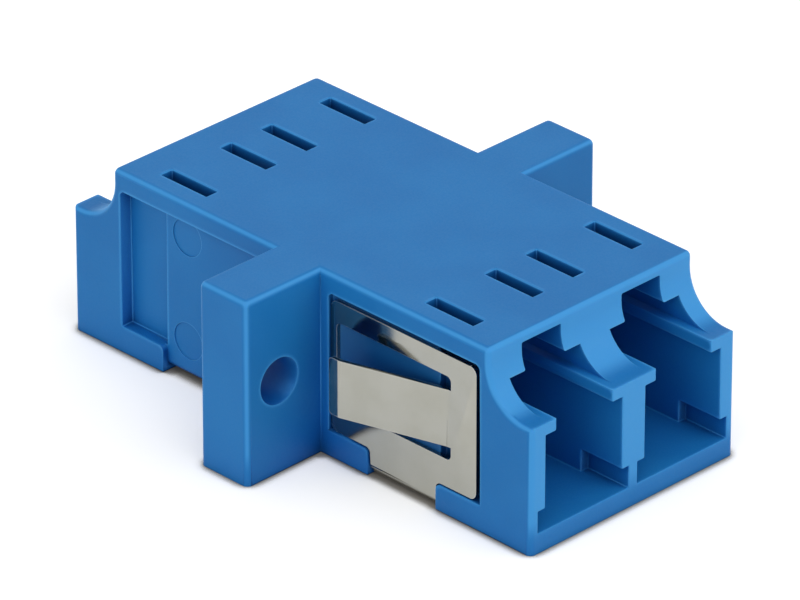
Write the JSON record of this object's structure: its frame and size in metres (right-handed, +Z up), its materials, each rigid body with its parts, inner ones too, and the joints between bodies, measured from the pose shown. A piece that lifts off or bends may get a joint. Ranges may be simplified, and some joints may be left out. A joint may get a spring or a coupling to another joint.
{
  "type": "duplex fibre adapter",
  "caption": "Duplex fibre-optic adapter: moulded body with ports at each end, a screw flange, a snap-in steel panel clip and split ceramic ferrule sleeves inside.",
  "frame": {"origin": "centre of the underside", "axes": "+Y along the ports, away from the clip's end; +X across the two screw ears; +Z up, towards the latch side"},
  "size_m": [0.022, 0.0292, 0.0093],
  "materials": {
    "blue_plastic": "satin moulded",
    "spring_steel": "bright rolled strip",
    "white_ceramic": "ground ceramic"
  },
  "bodies": {
    "root": {"housing": "blue_plastic", "mounting_clip": "spring_steel", "split_sleeve_left": "white_ceramic", "split_sleeve_right": "white_ceramic", "sleeve_holder_front_left": "blue_plastic", "sleeve_holder_front_right": "blue_plastic", "sleeve_holder_rear_left": "blue_plastic", "sleeve_holder_rear_right": "blue_plastic"}
  },
  "joints": []
}
